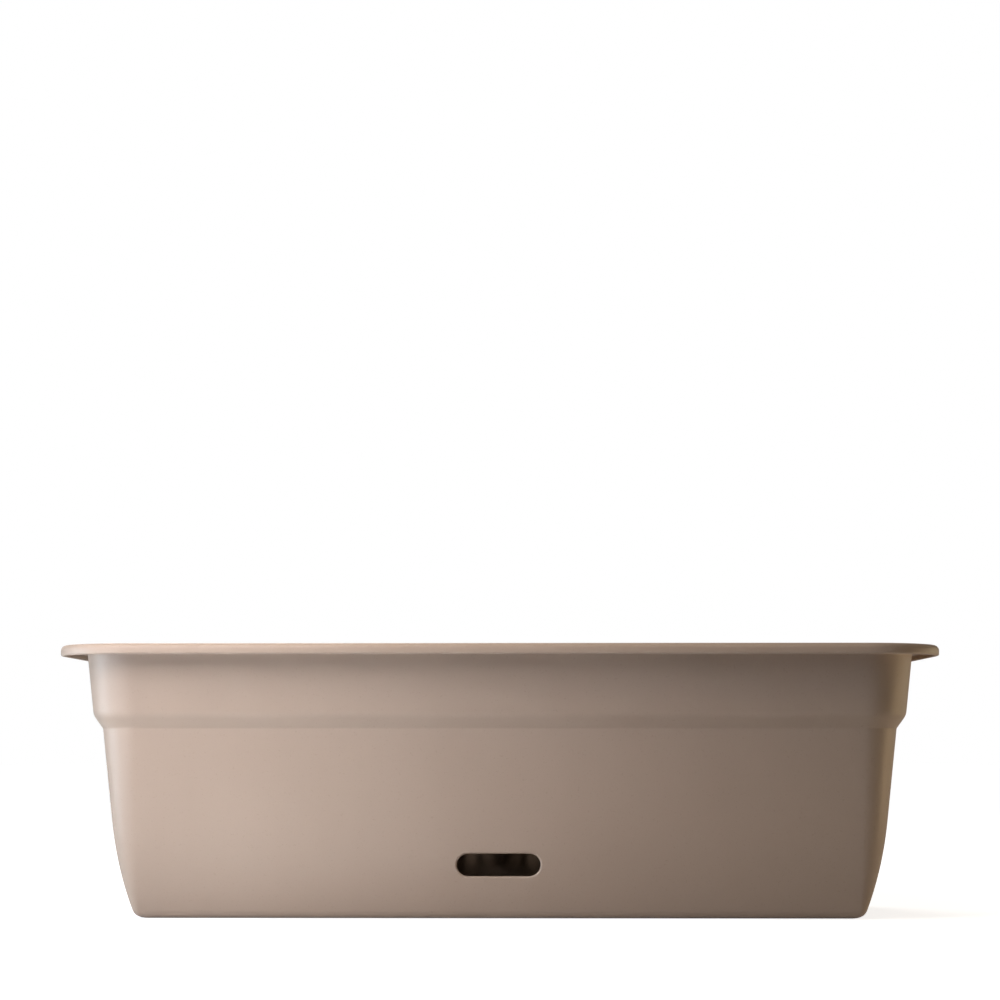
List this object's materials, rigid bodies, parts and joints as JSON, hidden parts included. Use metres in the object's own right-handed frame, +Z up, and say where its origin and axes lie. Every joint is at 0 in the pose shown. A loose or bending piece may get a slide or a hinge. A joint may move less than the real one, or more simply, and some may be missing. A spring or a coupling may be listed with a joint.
{
  "type": "rectangular planter",
  "caption": "Long rectangular trough planter in taupe plastic with an out-turned rim, stepped upper band, low overflow slot, lift-out false floors with wick cups and a drain plug.",
  "frame": {"origin": "middle of the base, on the surface that the trough stands on", "axes": "+X along the trough's length towards the drain plug, +Y from the front to the back, so that the wall with the overflow slot faces -Y, +Z up"},
  "size_m": [0.5, 0.2, 0.1555],
  "materials": {
    "trough_plastic": "satin, fine moulded grain",
    "insert_plastic": "matt, recycled plastic",
    "plug_plastic": "satin",
    "seal_rubber": "matt"
  },
  "bodies": {
    "trough": {"trough_body": "trough_plastic"},
    "false_floor_left": {"false_floor_left": "insert_plastic"},
    "false_floor_right": {"false_floor_right": "insert_plastic"},
    "drain_plug": {"drain_plug": "plug_plastic", "drain_seal": "seal_rubber"},
    "wick_cup_left_outer": {"wick_cup_left_outer": "insert_plastic"},
    "wick_cup_left_inner": {"wick_cup_left_inner": "insert_plastic"},
    "wick_cup_right_inner": {"wick_cup_right_inner": "insert_plastic"},
    "wick_cup_right_outer": {"wick_cup_right_outer": "insert_plastic"}
  },
  "joints": [
    {"name": "false_floor_left_lift", "type": "slide", "parent": "trough", "child": "false_floor_left", "axis": [0, 0, 1], "range_m": [0, 0.16]},
    {"name": "false_floor_right_lift", "type": "slide", "parent": "trough", "child": "false_floor_right", "axis": [0, 0, 1], "range_m": [0, 0.16]},
    {"name": "wick_cup_left_outer_lift", "type": "slide", "parent": "false_floor_left", "child": "wick_cup_left_outer", "axis": [0, 0, 1], "range_m": [0, 0.155]},
    {"name": "wick_cup_left_inner_lift", "type": "slide", "parent": "false_floor_left", "child": "wick_cup_left_inner", "axis": [0, 0, 1], "range_m": [0, 0.155]},
    {"name": "wick_cup_right_inner_lift", "type": "slide", "parent": "false_floor_right", "child": "wick_cup_right_inner", "axis": [0, 0, 1], "range_m": [0, 0.155]},
    {"name": "wick_cup_right_outer_lift", "type": "slide", "parent": "false_floor_right", "child": "wick_cup_right_outer", "axis": [0, 0, 1], "range_m": [0, 0.155]},
    {"name": "drain_plug_pull", "type": "slide", "parent": "trough", "child": "drain_plug", "axis": [1, 0, 0], "range_m": [0, 0.05]}
  ]
}
